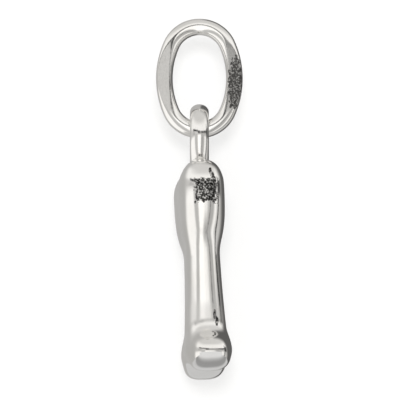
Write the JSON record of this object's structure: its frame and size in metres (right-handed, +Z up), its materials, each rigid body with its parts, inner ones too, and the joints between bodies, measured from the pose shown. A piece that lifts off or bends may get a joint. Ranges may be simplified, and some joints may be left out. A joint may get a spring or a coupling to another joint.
{
  "type": "bone charm",
  "caption": "Small polished silver charm: a solid dog-bone drop with a soldered eye, swinging on an oval jump ring that threads onto a chain or bracelet link.",
  "frame": {"origin": "inner top of the jump ring, where the carrying chain or link bears", "axes": "+Z up along the hanging charm, X across the bone's face, -Y out of the face; the jump ring lies in the YZ plane"},
  "size_m": [0.0078, 0.006, 0.0251],
  "materials": {
    "ring_silver": "polished silver wire",
    "eye_silver": "polished silver wire",
    "bone_silver": "polished cast silver"
  },
  "bodies": {
    "ring": {"jump_ring": "ring_silver"},
    "charm": {"eye_loop": "eye_silver", "bone_body": "bone_silver"}
  },
  "joints": [
    {"name": "charm_sway", "type": "hinge", "parent": "ring", "child": "charm", "pos_m": [0, 0, -0.00762], "axis": [0, 1, 0], "range_deg": [-135, 135]}
  ]
}
